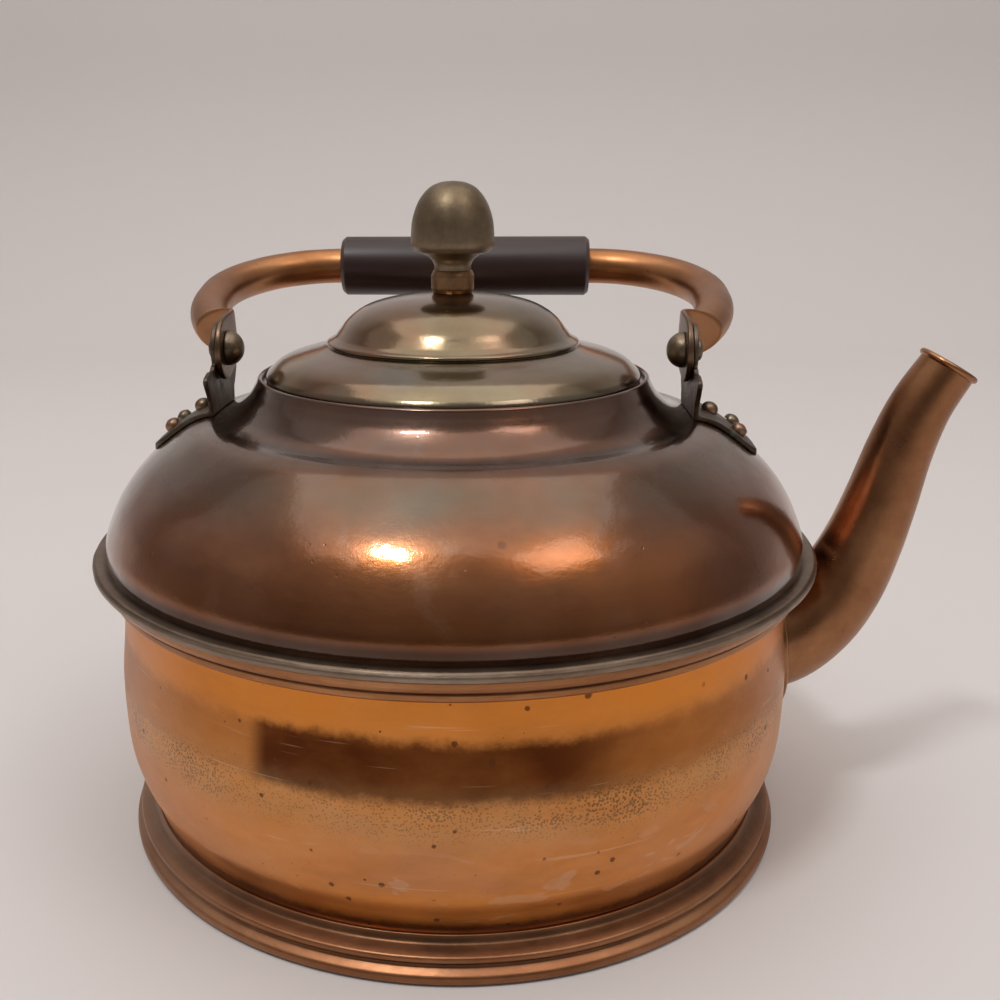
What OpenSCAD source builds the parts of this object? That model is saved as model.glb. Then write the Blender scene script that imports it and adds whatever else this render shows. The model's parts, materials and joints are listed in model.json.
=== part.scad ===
// Copper table kettle with a folding bail handle, a lift-off lid and a curved spout.
// Axis of the round body is Z, the table is z = 0, the spout points to +X, the bail folds to +Y.

/* [Body] */
// outer radius of the foot ring at the table
foot_r = 100; // [90:1:110]
// outer radius of the lower wall inside the foot ring
heel_r = 94; // [86:0.5:98]
// outer radius of the lower wall where it meets the belt
waist_r = 99.3; // [92:0.1:102]
// underside height of the belt seam
seam_z = 77.4; // [70:0.1:84]
// height of the folded flanges under the belt ring
flange_z = 84.2; // [82:0.1:88]
// outer radius of the belt ring
belt_r = 107.5; // [104:0.5:112]
// outer radius of the dome just above the belt
dome_r = 103.4; // [98:0.1:104]
// height of the neck lip
lip_z = 136; // [134:0.1:138]
// outer radius of the neck lip
lip_r = 57.6; // [56:0.1:60]
// sheet thickness of the body
sheet = 1.2; // [0.8:0.1:1.6]

/* [Lid] */
// outer radius of the rolled lid rim
lid_r = 55.2; // [50:0.1:55.5]
// height of the seat the lid rests on
seat_z = 134.6; // [132:0.1:135]
// sheet thickness of the lid
lid_sheet = 1.0; // [0.8:0.1:1.4]
// outer radius of the ring that guides the lid
guide_r = 50.9; // [46:0.1:51]
// depth of the guide ring below the seat
guide_drop = 8; // [5:0.5:12]
// height of the lid crown under the knob
crown_z = 159.1; // [155:0.1:162]
// largest radius of the knob
knob_r = 12.1; // [10:0.1:14]

/* [Bail] */
// height of the pivots above the table
pivot_z = 142.7; // [138:0.1:148]
// distance of the ear's inner face from the body axis
ear_x = 69.4; // [66:0.1:72]
// thickness of the ears
ear_t = 1.5; // [1:0.1:2]
// lean of the folded bail from the vertical, in degrees
fold_deg = 78.7; // [70:0.1:80]
// distance from the pivots to the grip axis
bail_h = 89; // [80:0.5:95]
// outer radius of the bail tube
tube_r = 6.2; // [5:0.1:7]
// wall thickness of the bail tube
tube_wall = 1.4; // [1:0.1:2]
// length of the grip
grip_l = 89; // [80:1:92]
// radius of the grip
grip_r = 10.5; // [9:0.1:12]

/* [Spout] */
// wall thickness of the spout
spout_wall = 1.2; // [1:0.1:1.6]
// width of the flange round the spout root
root_flange = 5; // [4:0.5:7]
// radius of the hole in the wall behind the spout
root_bore_r = 14; // [12:0.1:14.5]

/* [Hidden] */

round_fn = 96;
small_fn = 40;
eps = 0.01;
gap = 0.1;

// ---- outlines ----
function unit(v) = v / norm(v);
function cr(a, b, c, d, t) =
    0.5 * (2 * b + (c - a) * t + (2 * a - 5 * b + 4 * c - d) * t * t
    + (3 * b - a - 3 * c + d) * t * t * t);
// smooth curve through a short list of points, with n steps in each span
function curve(p, n) = [
    for (i = [0 : len(p) - 2], j = [0 : n - 1])
        cr(p[max(i - 1, 0)], p[i], p[i + 1], p[min(i + 2, len(p) - 1)], j / n),
    p[len(p) - 1]
];
// the same line moved sideways by t, to the left of its direction
function beside(p, t) = [
    for (i = [0 : len(p) - 1])
        let (d = unit(p[min(i + 1, len(p) - 1)] - p[max(i - 1, 0)]))
            p[i] + t * [-d[1], d[0]]
];
function flip(p) = [for (i = [len(p) - 1 : -1 : 0]) p[i]];

module sheet_outline(p, t) {
    polygon(concat(p, flip(beside(p, t))));
}

wall_line = concat(
    [[heel_r, 0], [heel_r, 8]],
    curve([[heel_r, 11], [96, 17], [98.6, 23], [100.6, 31], [101.3, 42], [101.2, 53],
        [99.9, 65], [waist_r, 76]], 3),
    [[waist_r, flange_z - 0.1]]);

shoulder_line = curve([[dome_r, flange_z + 3.2], [103.4, 89.6], [102.5, 94], [98, 103.5], [91, 112],
    [80, 120.9], [74, 123.9], [69, 124.8], [64.4, 126.8], [60.6, 130.3], [58.7, 133.2],
    [lip_r, lip_z - 0.6]], 3);

lid_line = concat(
    curve([[54.4, 137.3], [51.6, 139.8], [48.5, 141.3], [44, 142.6], [40, 143.6], [38.1, 144.2]], 2),
    [[36.9, 144.6], [37.2, 145.2], [36.8, 145.9], [35.9, 146.4]],
    curve([[34.6, 147.3], [33.2, 149], [31.2, 151.5], [28.2, 154], [24.2, 156.1], [19, 157.6],
        [13, 158.6], [6, crown_z]], 2),
    [[2.2, crown_z]]);

// ---- body ----
flange_out = belt_r - 2.4;

module lower_body() {
    color([0.72, 0.45, 0.28])
    difference() {
        union() {
            rotate_extrude($fn = round_fn)
                sheet_outline(wall_line, sheet);
            translate([0, 0, flange_z - 0.1])
            rotate_extrude($fn = round_fn)
                polygon([[waist_r - sheet, 0], [flange_out, 0], [flange_out, sheet],
                    [waist_r - sheet, sheet]]);
        }
        spout_root_bore();
    }
}

module bottom_plate() {
    color([0.60, 0.36, 0.22])
    rotate_extrude($fn = round_fn)
        polygon([[0, 0], [heel_r - sheet, 0], [heel_r - sheet, 3], [heel_r - 2 * sheet, 3],
            [heel_r - 3 * sheet, sheet], [0, sheet]]);
}

module foot_ring() {
    color([0.52, 0.32, 0.2])
    rotate_extrude($fn = round_fn)
        polygon(concat(
            [[heel_r, 0], [foot_r - 0.7, 0]],
            curve([[foot_r + 0.2, 0.5], [foot_r + 0.8, 1.9], [foot_r + 0.4, 3.2], [98.7, 4.5],
                [98.5, 5.2], [99, 6], [99, 7.2], [98, 8], [96.4, 8.5], [heel_r + 0.9, 9.4],
                [heel_r, 10.8]], 2)));
}

module waist_band() {
    color([0.70, 0.42, 0.24])
    rotate_extrude($fn = round_fn)
        polygon(concat(
            [[waist_r, seam_z], [101.7, seam_z]],
            curve([[102.4, 77.9], [102.7, 78.8], [102.3, 79.8], [102.6, 80.3], [103.8, 80.9],
                [104.5, 82], [104.5, 83.2], [103.9, flange_z - 0.1]], 2),
            [[waist_r, flange_z - 0.1]]));
}

module belt_ring() {
    color([0.5, 0.47, 0.42])
    rotate_extrude($fn = round_fn)
        polygon(concat(
            [[dome_r, flange_z + 2.3], [flange_out, flange_z + 2.3], [flange_out, flange_z - 0.1]],
            curve([[belt_r - 1.4, flange_z - 0.1], [belt_r - 0.4, 84.6], [belt_r, 85.5],
                [belt_r - 0.3, 86.3], [belt_r - 1.1, 86.8], [belt_r - 2.6, 86.9],
                [dome_r, flange_z + 2.5]], 2)));
}

module upper_body() {
    color([0.45, 0.28, 0.18])
    difference() {
        union() {
            rotate_extrude($fn = round_fn)
                sheet_outline(shoulder_line, sheet);
            // folded flange under the belt ring, with the short skirt above it
            rotate_extrude($fn = round_fn)
                polygon([[dome_r - sheet, flange_z + 1.1], [flange_out, flange_z + 1.1],
                    [flange_out, flange_z + 2.3], [dome_r, flange_z + 2.3],
                    [dome_r, flange_z + 3.3], [dome_r - sheet, flange_z + 3.3]]);
            // rolled lip
            translate([0, 0, lip_z - 0.7])
            rotate_extrude($fn = round_fn)
            translate([lip_r - sheet / 2, 0])
                circle(r = 0.75, $fn = small_fn);
        }
        for (side = [-1, 1])
            rivet_shanks(side);
    }
}

module lid_seat() {
    color([0.5, 0.32, 0.2])
    rotate_extrude($fn = round_fn)
        polygon([[guide_r + 0.5, seat_z - 9], [guide_r + 1.5, seat_z - 9],
            [guide_r + 1.5, seat_z - 1], [lip_r - 0.4, seat_z - 1], [lip_r - 0.75, seat_z],
            [guide_r + 0.5, seat_z]]);
}

// ---- ears ----
foot_in = ear_x + 1;
foot_end = 88.6;
foot_half_w = 13.5;
rivet_shank_r = 1.6;
rivet_head_r = 2.75;
// rivet places on the plate: distance from the body axis along X, offset along Y, tilt from Z
rivet_places = [[75.3, 0, 22.5], [82.6, 6.2, 39], [82.6, -6.2, 39]];

// height of the dome's outer face at a distance r from the axis
function dome_z(r, i = 0) =
    (i >= len(shoulder_line) - 2 || shoulder_line[i + 1][0] <= r)
    ? let (a = shoulder_line[i], b = shoulder_line[i + 1]) a[1] + (b[1] - a[1]) * (r - a[0]) / (b[0] - a[0])
    : dome_z(r, i + 1);

module at_rivet(side, p) {
    r = norm([p[0], p[1]]);
    rotate([0, 0, (side > 0 ? 0 : 180) + atan2(p[1], p[0])])
    translate([r, 0, dome_z(r)])
    rotate([0, p[2], 0])
        children();
}

module rivet_shanks(side) {
    for (p = rivet_places)
        at_rivet(side, p)
        translate([0, 0, -3])
            cylinder(r = rivet_shank_r, h = 8, $fn = small_fn);
}

// the stretch of the dome's outline that the ear's foot lies on
foot_line = [for (p = shoulder_line) if (p[0] > 67 && p[0] < 95) p];

// the ear's foot, hammered to the dome
module ear_foot(side) {
    intersection() {
        rotate_extrude($fn = round_fn)
            polygon(concat(foot_line, flip(beside(foot_line, -ear_t))));
        translate([0, 0, 105])
        linear_extrude(height = 25)
        rotate([0, 0, side > 0 ? 0 : 180])
        union() {
            translate([ear_x, -foot_half_w])
                square([foot_end - ear_x - 4, 2 * foot_half_w]);
            translate([foot_end - 5, -foot_half_w + 4])
                square([5, 2 * foot_half_w - 8]);
            for (y = [-1, 1])
                translate([foot_end - 4, y * (foot_half_w - 4)])
                    circle(r = 4, $fn = small_fn);
        }
    }
}

foot_z = 125;
horn_y = 16.6;
horn_z = 135.2;
ear_head_r = 8;

// the ear's upright seen along X: a flared leg with two horns and a round head
module upright_outline() {
    difference() {
        union() {
            polygon([[-foot_half_w, foot_z], [foot_half_w, foot_z], [foot_half_w + 0.6, 129],
                [horn_y + 1.4, horn_z - 0.6], [horn_y, horn_z + 1.5], [ear_head_r, pivot_z - 4],
                [-ear_head_r, pivot_z - 4], [-horn_y, horn_z + 1.5], [-horn_y - 1.4, horn_z - 0.6],
                [-foot_half_w - 0.6, 129]]);
            for (y = [-1, 1])
                translate([y * horn_y, horn_z])
                    circle(r = 1.5, $fn = small_fn);
            translate([0, pivot_z])
                circle(r = ear_head_r, $fn = round_fn);
        }
        // hollows between the head and the horns
        for (y = [-1, 1])
            translate([y * 11.3, pivot_z - 2.2])
                circle(r = 3.2, $fn = small_fn);
    }
}

module ear_upright(side) {
    translate([side > 0 ? ear_x : -ear_x - ear_t, 0, 0])
    rotate([90, 0, 90])
    linear_extrude(height = ear_t)
        upright_outline();
}

pivot_r = 2.6;

module ear(side) {
    color([0.38, 0.33, 0.27])
    difference() {
        union() {
            ear_foot(side);
            ear_upright(side);
        }
        rivet_shanks(side);
        translate([0, 0, pivot_z])
        rotate([0, 90, 0])
            cylinder(r = pivot_r, h = 200, center = true, $fn = small_fn);
    }
}

module ear_left() {
    ear(-1);
}

module ear_right() {
    ear(1);
}

// a round rivet: domed head outside, shank, flat head inside
module body_rivet() {
    rotate_extrude($fn = small_fn)
        polygon([[0, -3], [2.5, -3], [2.6, -2.6], [2.6, -sheet - 0.35], [rivet_shank_r, -sheet - 0.35],
            [rivet_shank_r, ear_t + 0.02], [rivet_head_r, ear_t + 0.02], [rivet_head_r - 0.05, 2.3],
            [2.4, 3.1], [1.75, 3.75], [0.9, 4.15], [0, 4.3]]);
}

module ear_rivets(side) {
    color([0.55, 0.45, 0.28])
    for (p = rivet_places)
        at_rivet(side, p)
            body_rivet();
}

module ear_rivets_left() {
    ear_rivets(-1);
}

module ear_rivets_right() {
    ear_rivets(1);
}

// ---- bail pivots ----
tab_t = 1.85;
tab_x = ear_x - gap - tab_t;
pivot_head_r = 5.3;

// rivet with a large domed head inside the bail and a small flat head outside the ear
module pivot_rivet(side) {
    color([0.5, 0.4, 0.26])
    rotate([0, 0, side > 0 ? 0 : 180])
    translate([0, 0, pivot_z])
    rotate([0, 90, 0])
    rotate_extrude($fn = small_fn)
        polygon([[0, tab_x - gap - 4.8], [1.6, tab_x - 4.75], [3.1, tab_x - 4.1], [4.3, tab_x - 3],
            [5, tab_x - 1.7], [pivot_head_r, tab_x - 0.5], [pivot_head_r, tab_x - gap],
            [pivot_r, tab_x - gap], [pivot_r, ear_x + ear_t], [3.3, ear_x + ear_t],
            [3.3, ear_x + ear_t + 1.3], [2.7, ear_x + ear_t + 1.8], [0, ear_x + ear_t + 2]]);
}

module pivot_rivet_left() {
    pivot_rivet(-1);
}

module pivot_rivet_right() {
    pivot_rivet(1);
}

// ---- lid ----
module lid_shell() {
    color([0.47, 0.41, 0.31])
    difference() {
        union() {
            rotate_extrude($fn = round_fn)
                sheet_outline(lid_line, lid_sheet);
            // rolled rim
            translate([0, 0, seat_z + 1.2])
            rotate_extrude($fn = round_fn)
            translate([lid_r - 1.15, 0])
                circle(r = 1.15, $fn = small_fn);
            rotate_extrude($fn = round_fn)
                polygon([[lid_r - 2.2, seat_z + 1.2], [lid_r - 0.9, seat_z + 1.2], [lid_r - 0.8, 137.2],
                    [lid_r - 1.7, 136.7]]);
        }
        cylinder(r = screw_r, h = 300, $fn = small_fn);
    }
}

module lid_guide() {
    color([0.43, 0.37, 0.28])
    rotate_extrude($fn = round_fn)
        polygon([[guide_r - 1, seat_z - guide_drop + 1], [guide_r - 0.5, seat_z - guide_drop],
            [guide_r, seat_z - guide_drop + 1], [guide_r, 139.0], [guide_r - 1, 139.4]]);
}

screw_r = 2;
collar_top = crown_z + 6.6;

module knob_collar() {
    color([0.55, 0.38, 0.22])
    difference() {
        rotate_extrude($fn = round_fn)
            polygon(concat([[screw_r, crown_z], [5.6, crown_z]],
                curve([[6.05, crown_z + 0.7], [6.35, crown_z + 3.3], [6.05, crown_z + 5.8],
                    [5.6, collar_top]], 3),
                [[screw_r, collar_top]]));
        cylinder(r = screw_r, h = 300, $fn = small_fn);
    }
}

module knob() {
    color([0.5, 0.42, 0.3])
    difference() {
        rotate_extrude($fn = round_fn)
            polygon(concat(
                [[0, collar_top]],
                curve([[5.35, collar_top], [5.5, collar_top + 1.6], [6.4, collar_top + 3.2],
                    [8.6, collar_top + 4.6], [10.6, collar_top + 5.2]], 2),
                curve([[11.3, collar_top + 5.5], [knob_r - 0.1, collar_top + 7], [knob_r, collar_top + 9.4],
                    [11.6, collar_top + 14.4], [9.9, collar_top + 19.2], [7.1, collar_top + 22.8],
                    [3.8, collar_top + 24.5], [0, collar_top + 25]], 3)));
        translate([0, 0, collar_top - eps])
            cylinder(r = screw_r, h = 7, $fn = small_fn);
    }
}

module knob_washer() {
    color([0.5, 0.44, 0.34])
    translate([0, 0, crown_z - lid_sheet - 1.05])
    difference() {
        cylinder(r = 6, h = 1, $fn = small_fn);
        translate([0, 0, -1])
            cylinder(r = screw_r, h = 4, $fn = small_fn);
    }
}

module knob_screw() {
    head_z = crown_z - lid_sheet - 1.05;
    color([0.5, 0.42, 0.28])
    difference() {
        rotate_extrude($fn = small_fn)
            polygon([[0, head_z - 2.4], [2.6, head_z - 2.2], [3.9, head_z - 1.2], [4.2, head_z],
                [screw_r, head_z], [screw_r, collar_top + 6.5], [0, collar_top + 6.5]]);
        translate([0, 0, head_z - 2])
            cube([12, 1, 1.6], center = true);
    }
}

// ---- bail ----
// drawn standing up in the XZ plane with the pivot axis at z = 0, then folded back
bend_r = 38;
leg_x = grip_l / 2 + bend_r;
leg_deg = 28;
leg_r = 56.6;
bend_z = bail_h - bend_r;
leg_top = 46;
root_x = leg_x - leg_r * (1 - cos(leg_deg));
root_z = leg_top - leg_r * sin(leg_deg);
tab_r = 9.3;
tab_neck = 8.0;
tab_top = 12.6;

module arc_rod(r, sweep, rod) {
    rotate_extrude(angle = sweep, $fn = round_fn)
    translate([r, 0])
        circle(r = rod, $fn = small_fn);
}

// the straight stretch inside the grip
module rod_bar(rod) {
    translate([0, 0, bail_h])
    rotate([0, 90, 0])
        cylinder(r = rod, h = grip_l, center = true, $fn = small_fn);
}

// one side of the rod, from the grip to the flattened end
module rod_side(rod) {
    translate([grip_l / 2, 0, bend_z])
    rotate([90, 0, 0])
        arc_rod(bend_r, 90, rod);
    translate([leg_x, 0, leg_top])
        cylinder(r = rod, h = bend_z - leg_top, $fn = small_fn);
    translate([leg_x - leg_r, 0, leg_top])
    rotate([-90, 0, 0])
        arc_rod(leg_r, leg_deg, rod);
}

// the flattened end: a flat tab, and the stretch where the tube is squashed down to it
module bail_end() {
    hull() {
        translate([root_x, 0, root_z])
        rotate([0, leg_deg, 0])
            cylinder(r = tube_r + 0.15, h = 1.2, $fn = 32);
        translate([tab_x, -tab_neck, tab_top - 0.6])
            cube([tab_t, 2 * tab_neck, 0.6]);
    }
    translate([tab_x, 0, 0])
    rotate([90, 0, 90])
    linear_extrude(height = tab_t) {
        circle(r = tab_r, $fn = round_fn);
        polygon([[-tab_r, 0], [tab_r, 0], [tab_r - 0.1, 2.4], [tab_neck, tab_top], [-tab_neck, tab_top],
            [0.1 - tab_r, 2.4]]);
    }
}

module folded() {
    translate([0, 0, pivot_z])
    rotate([-fold_deg, 0, 0])
        children();
}

module bail_tube() {
    color([0.6, 0.38, 0.24])
    folded()
    difference() {
        union() {
            rod_bar(tube_r);
            for (m = [0, 1])
                mirror([m, 0, 0]) {
                    rod_side(tube_r);
                    bail_end();
                }
        }
        rod_bar(tube_r - tube_wall);
        for (m = [0, 1])
            mirror([m, 0, 0])
                rod_side(tube_r - tube_wall);
        rotate([0, 90, 0])
            cylinder(r = pivot_r + 0.06, h = 200, center = true, $fn = small_fn);
    }
}

module grip() {
    half = grip_l / 2;
    color([0.14, 0.11, 0.12])
    folded()
    translate([0, 0, bail_h])
    rotate([0, 90, 0])
    rotate_extrude($fn = small_fn)
        polygon([[tube_r + 0.05, -half], [grip_r - 1.2, -half], [grip_r - 0.3, -half + 0.5],
            [grip_r, -half + 1.4], [grip_r, half - 1.4], [grip_r - 0.3, half - 0.5],
            [grip_r - 1.2, half], [tube_r + 0.05, half]]);
}

// ---- spout ----
// centre line in the XZ plane with the outer radius at each station
spout_path = [[88, 52, 17], [101, 55.2, 16.2], [111, 62, 14.5], [118.8, 72.4, 12.8],
    [124.3, 85.4, 11.4], [128.4, 99.2, 10.4], [132, 113.2, 9.5], [136.6, 126.2, 8.8],
    [143, 137.6, 8.2]];
spout_last = len(spout_path) - 1;
spout_fn = 40;
slice_t = 0.05;
solder_gap = 0.6;
spout_root_deg = heading(0);
spout_tip_deg = heading(spout_last);

// heading of the centre line at station i, in degrees from Z towards X
function heading(i) =
    let (a = spout_path[max(i - 1, 0)], b = spout_path[min(i + 1, spout_last)])
        atan2(b[0] - a[0], b[1] - a[1]);

module spout_slice(i, shrink, h) {
    translate([spout_path[i][0], 0, spout_path[i][1]])
    rotate([0, heading(i), 0])
        cylinder(r = spout_path[i][2] - shrink, h = h, $fn = spout_fn);
}

module spout_solid(shrink, tail) {
    for (i = [0 : spout_last - 1])
        hull() {
            spout_slice(i, shrink, slice_t);
            spout_slice(i + 1, shrink, i == spout_last - 1 ? tail : slice_t);
        }
}

// the hole in the flange: a plain cone round the first stretch, with room for solder
module flange_hole() {
    a = spout_path[0];
    b = spout_path[1];
    translate([a[0], 0, a[1]])
    rotate([0, atan2(b[0] - a[0], b[1] - a[1]), 0])
        cylinder(r1 = a[2] + solder_gap, r2 = b[2] + solder_gap, h = 1.5 * norm([b[0] - a[0], b[1] - a[1]]),
            $fn = round_fn);
}

module wall_mass(grow) {
    rotate_extrude($fn = round_fn)
        polygon(concat([[0, 0]], beside(wall_line, -grow), [[0, flange_z - 0.1]]));
}

module spout_root_bore() {
    translate([spout_path[0][0], 0, spout_path[0][1]])
    rotate([0, spout_root_deg, 0])
        cylinder(r = root_bore_r, h = 30, $fn = round_fn);
}

module spout() {
    color([0.62, 0.38, 0.24])
    difference() {
        spout_solid(0, slice_t);
        spout_solid(spout_wall, 1);
        wall_mass(gap);
    }
}

module spout_flange() {
    color([0.6, 0.38, 0.24])
    intersection() {
        difference() {
            wall_mass(1.2);
            wall_mass(0);
            flange_hole();
        }
        translate([spout_path[0][0], 0, spout_path[0][1]])
        rotate([0, spout_root_deg, 0])
            cylinder(r = spout_path[1][2] + root_flange, h = 30, $fn = round_fn);
    }
}

module spout_lip() {
    tip = spout_path[spout_last];
    color([0.62, 0.4, 0.26])
    translate([tip[0], 0, tip[1]])
    rotate([0, spout_tip_deg, 0])
    rotate_extrude($fn = round_fn)
        polygon([[tip[2] - spout_wall, slice_t], [tip[2], slice_t], [tip[2] + 0.7, 0.3], [tip[2] + 1, 1],
            [tip[2] + 0.7, 1.7], [tip[2], 2], [tip[2] - 0.8, 1.8], [tip[2] - spout_wall, 1.2]]);
}

lower_body();
bottom_plate();
foot_ring();
waist_band();
belt_ring();
upper_body();
lid_seat();
spout();
spout_flange();
spout_lip();
ear_left();
ear_right();
ear_rivets_left();
ear_rivets_right();
pivot_rivet_left();
pivot_rivet_right();
lid_shell();
lid_guide();
knob();
knob_collar();
knob_screw();
knob_washer();
bail_tube();
grip();
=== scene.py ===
import json
import math
import bpy
import bmesh
from mathutils import Vector, Matrix, noise


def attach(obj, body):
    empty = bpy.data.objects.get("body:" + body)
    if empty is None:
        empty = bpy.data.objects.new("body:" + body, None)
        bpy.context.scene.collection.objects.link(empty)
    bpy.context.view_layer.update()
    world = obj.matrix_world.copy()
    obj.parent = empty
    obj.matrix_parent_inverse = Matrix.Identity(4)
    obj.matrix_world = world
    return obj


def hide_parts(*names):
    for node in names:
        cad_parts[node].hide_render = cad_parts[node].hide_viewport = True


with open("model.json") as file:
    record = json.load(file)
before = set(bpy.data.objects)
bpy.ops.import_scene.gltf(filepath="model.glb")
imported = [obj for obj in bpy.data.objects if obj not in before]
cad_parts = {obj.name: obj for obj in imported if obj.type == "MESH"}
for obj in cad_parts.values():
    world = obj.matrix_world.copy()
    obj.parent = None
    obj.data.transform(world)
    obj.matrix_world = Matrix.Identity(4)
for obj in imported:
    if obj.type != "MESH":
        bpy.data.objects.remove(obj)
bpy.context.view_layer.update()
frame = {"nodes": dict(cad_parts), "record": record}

MM = 0.001

# ---------------------------------------------------------------- measures shared with the CAD, in mm
SHEET, LID_SHEET = 1.2, 1.0
PIVOT_Z, EAR_X, EAR_T = 142.7, 69.4, 1.5
FOLD = math.radians(78.7)
BAIL_H, TUBE_R = 89.0, 6.2
GRIP_HALF, GRIP_R = 44.5, 10.5
BEND_R, LEG_TOP, LEG_R, LEG_DEG = 38.0, 46.0, 56.6, 28
TAB_GAP, TAB_T, TAB_R, TAB_NECK, TAB_TOP = 0.1, 1.85, 9.3, 8.0, 12.6
SPOUT_WALL = 1.25


# ---------------------------------------------------------------- outlines
def catmull(a, b, c, d, t):
    """Point at t on the smooth stretch from b to c, with a before it and d after it."""
    return 0.5 * (2 * b + (c - a) * t + (2 * a - 5 * b + 4 * c - d) * t * t
                  + (3 * b - a - 3 * c + d) * t ** 3)


def curve(pts, n=8):
    """Smooth line through (r, z) points in mm."""
    p = [Vector(q) for q in pts]
    out = []
    for i in range(len(p) - 1):
        a, b, c, d = p[max(i - 1, 0)], p[i], p[i + 1], p[min(i + 2, len(p) - 1)]
        out += [catmull(a, b, c, d, j / n) for j in range(n)]
    return out + [p[-1]]


def fillet(pts, n=4):
    """Closed outline from corners (x, y, radius): each corner becomes an arc of n steps."""
    out = []
    m = len(pts)
    for i in range(m):
        p = Vector(pts[i][:2])
        r = pts[i][2] if len(pts[i]) > 2 else 0
        a = (Vector(pts[i - 1][:2]) - p)
        b = (Vector(pts[(i + 1) % m][:2]) - p)
        if r <= 0 or a.length < 1e-6 or b.length < 1e-6:
            out.append(p)
            continue
        la, lb = a.length, b.length
        a.normalize()
        b.normalize()
        ang = a.angle(b, math.pi)
        t = min(r / math.tan(ang / 2), la * 0.45, lb * 0.45)
        s, e = p + a * t, p + b * t
        for k in range(n + 1):
            u = k / n
            out.append(s * (1 - u) ** 2 + p * 2 * u * (1 - u) + e * u * u)
    return out


def beside(p, t):
    """The same line moved to the left of its direction by t."""
    out = []
    for i in range(len(p)):
        d = (p[min(i + 1, len(p) - 1)] - p[max(i - 1, 0)]).normalized()
        out.append(p[i] + t * Vector((-d.y, d.x)))
    return out


# ---------------------------------------------------------------- mesh helpers
def finish_mesh(bm, name, body, nodes, mat, sharp=40):
    bmesh.ops.remove_doubles(bm, verts=bm.verts, dist=2e-6)
    bmesh.ops.recalc_face_normals(bm, faces=bm.faces)
    me = bpy.data.meshes.new(name)
    bm.to_mesh(me)
    bm.free()
    me.shade_smooth()
    me.set_sharp_from_angle(angle=math.radians(sharp))
    ob = bpy.data.objects.new(name, me)
    bpy.context.scene.collection.objects.link(ob)
    me.materials.append(mat)
    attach(ob, body)
    if nodes:
        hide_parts(*nodes)
    return ob


def lathe_bm(outline, segs=256, wobble=None, bm=None, place=None):
    """Closed (r, z) outline in mm turned round Z. wobble(x, y, z, r) gives a radial offset in mm."""
    bm = bm or bmesh.new()
    rings = []
    for p in outline:
        if p[0] < 1e-4:
            co = Vector((0, 0, p[1])) * MM
            rings.append([bm.verts.new(place @ co if place else co)])
            continue
        ring = []
        for k in range(segs):
            t = 2 * math.pi * k / segs
            c, s = math.cos(t), math.sin(t)
            dr = wobble(p[0] * c, p[0] * s, p[1], p[0]) if wobble else 0
            co = Vector(((p[0] + dr) * c, (p[0] + dr) * s, p[1])) * MM
            ring.append(bm.verts.new(place @ co if place else co))
        rings.append(ring)
    m = len(rings)
    for i in range(m):
        a, b = rings[i], rings[(i + 1) % m]
        if len(a) == 1 and len(b) == 1:
            continue
        for k in range(segs):
            l = (k + 1) % segs
            if len(a) == 1:
                bm.faces.new((a[0], b[k], b[l]))
            elif len(b) == 1:
                bm.faces.new((a[k], b[0], a[l]))
            else:
                bm.faces.new((a[k], b[k], b[l], a[l]))
    return bm


def lathe(name, outline, body, nodes, mat, segs=256, wobble=None, sharp=40):
    return finish_mesh(lathe_bm(outline, segs, wobble), name, body, nodes, mat, sharp)


def dents(seed, scale, depth):
    """Low, wide hollows and swells of hand-raised sheet."""
    def f(x, y, z, r):
        q = Vector((x, y, z * 1.3)) / scale + Vector((seed * 7.3, seed * 3.1, seed * 1.7))
        return -depth * (0.5 + 0.5 * noise.noise(q))
    return f


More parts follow.
